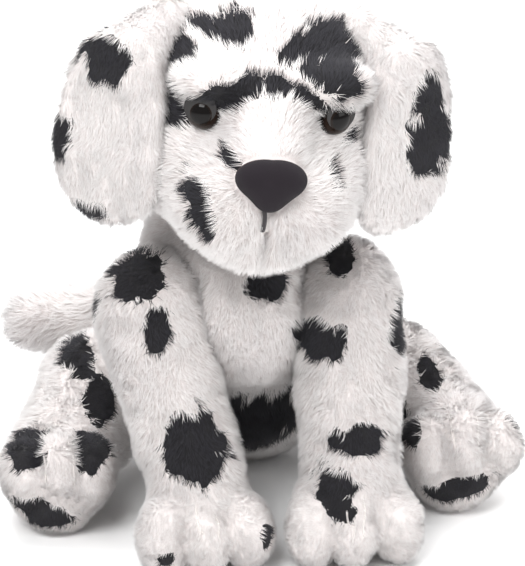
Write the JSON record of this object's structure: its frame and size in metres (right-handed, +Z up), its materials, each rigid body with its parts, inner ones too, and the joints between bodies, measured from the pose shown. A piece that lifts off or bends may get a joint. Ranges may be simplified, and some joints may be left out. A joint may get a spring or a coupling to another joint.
{
  "type": "plush dog",
  "caption": "Seated plush Dalmatian puppy with drooping ears, stuffed legs and a bean-weighted seat; head, ears, legs and tail move on their sewn seams.",
  "frame": {"origin": "middle of the bounding box in plan, on the surface that the toy sits on", "axes": "+Z up; the dog looks along -Y; +X is the dog's left side"},
  "size_m": [0.1915, 0.182, 0.2065],
  "materials": {
    "plush": "long soft white pile with charcoal-black spots",
    "lining_plush": "soft white pile, no spots",
    "stuffing": "loose polyester fibre",
    "nose_velour": "short velvet nap",
    "dark_thread": "twisted thread",
    "pale_thread": "twisted thread",
    "eye_dome": "polished, deep brown",
    "eye_post": "black",
    "washer": "natural nylon",
    "pouch": "thin nonwoven cloth",
    "pellets": "small round pellets"
  },
  "bodies": {
    "torso": {"body_shell": "plush", "body_stuffing": "stuffing", "bean_pouch": "pouch", "bean_pellets": "pellets"},
    "neck": {"neck_tube": "plush", "neck_stuffing": "stuffing"},
    "head": {"head_shell": "plush", "head_stuffing": "stuffing", "muzzle_shell": "plush", "muzzle_stuffing": "stuffing", "nose": "nose_velour", "mouth_stitch": "dark_thread", "left_eye_dome": "eye_dome", "left_eye_post": "eye_post", "left_eye_washer": "washer", "right_eye_dome": "eye_dome", "right_eye_post": "eye_post", "right_eye_washer": "washer"},
    "left_ear": {"left_ear_plush": "plush", "left_ear_lining": "lining_plush"},
    "right_ear": {"right_ear_plush": "plush", "right_ear_lining": "lining_plush"},
    "left_front_leg": {"left_front_leg_shell": "plush", "left_front_leg_stuffing": "stuffing", "left_front_toe_stitches": "pale_thread"},
    "right_front_leg": {"right_front_leg_shell": "plush", "right_front_leg_stuffing": "stuffing", "right_front_toe_stitches": "pale_thread"},
    "left_hind_leg": {"left_hind_leg_shell": "plush", "left_hind_leg_stuffing": "stuffing", "left_hind_toe_stitches": "pale_thread"},
    "right_hind_leg": {"right_hind_leg_shell": "plush", "right_hind_leg_stuffing": "stuffing", "right_hind_toe_stitches": "pale_thread"},
    "tail": {"tail_shell": "plush", "tail_stuffing": "stuffing"}
  },
  "joints": [
    {"name": "head_turn", "type": "hinge", "parent": "torso", "child": "neck", "pos_m": [-0.004, -0.009, 0.113], "axis": [0, 0, 1], "range_deg": [-35, 35], "stiffness_Nm_per_rad": 0.4},
    {"name": "head_nod", "type": "hinge", "parent": "neck", "child": "head", "pos_m": [-0.004, -0.009, 0.113], "axis": [1, 0, 0], "range_deg": [-15, 8], "stiffness_Nm_per_rad": 0.8},
    {"name": "left_ear_lift", "type": "hinge", "parent": "head", "child": "left_ear", "pos_m": [0.0324, -0.035, 0.187], "axis": [0, -1, 0], "range_deg": [0, 80]},
    {"name": "right_ear_lift", "type": "hinge", "parent": "head", "child": "right_ear", "pos_m": [-0.03335, -0.035, 0.19277], "axis": [0, 1, 0], "range_deg": [0, 80]},
    {"name": "left_front_leg_swing", "type": "hinge", "parent": "torso", "child": "left_front_leg", "pos_m": [0.029, -0.028, 0.086], "axis": [-1, 0, 0], "range_deg": [0, 60], "stiffness_Nm_per_rad": 0.3},
    {"name": "right_front_leg_swing", "type": "hinge", "parent": "torso", "child": "right_front_leg", "pos_m": [-0.04, -0.028, 0.086], "axis": [-1, 0, 0], "range_deg": [0, 60], "stiffness_Nm_per_rad": 0.3},
    {"name": "left_hind_leg_lift", "type": "hinge", "parent": "torso", "child": "left_hind_leg", "pos_m": [0.054, 0.023, 0.034], "axis": [-1, 0, 0], "range_deg": [0, 25], "stiffness_Nm_per_rad": 0.3},
    {"name": "right_hind_leg_lift", "type": "hinge", "parent": "torso", "child": "right_hind_leg", "pos_m": [-0.054, 0.023, 0.034], "axis": [-1, 0, 0], "range_deg": [0, 25], "stiffness_Nm_per_rad": 0.3},
    {"name": "tail_wag", "type": "hinge", "parent": "torso", "child": "tail", "pos_m": [-0.014, 0.0785, 0.044], "axis": [0, 0, -1], "range_deg": [0, 90], "stiffness_Nm_per_rad": 0.03}
  ]
}
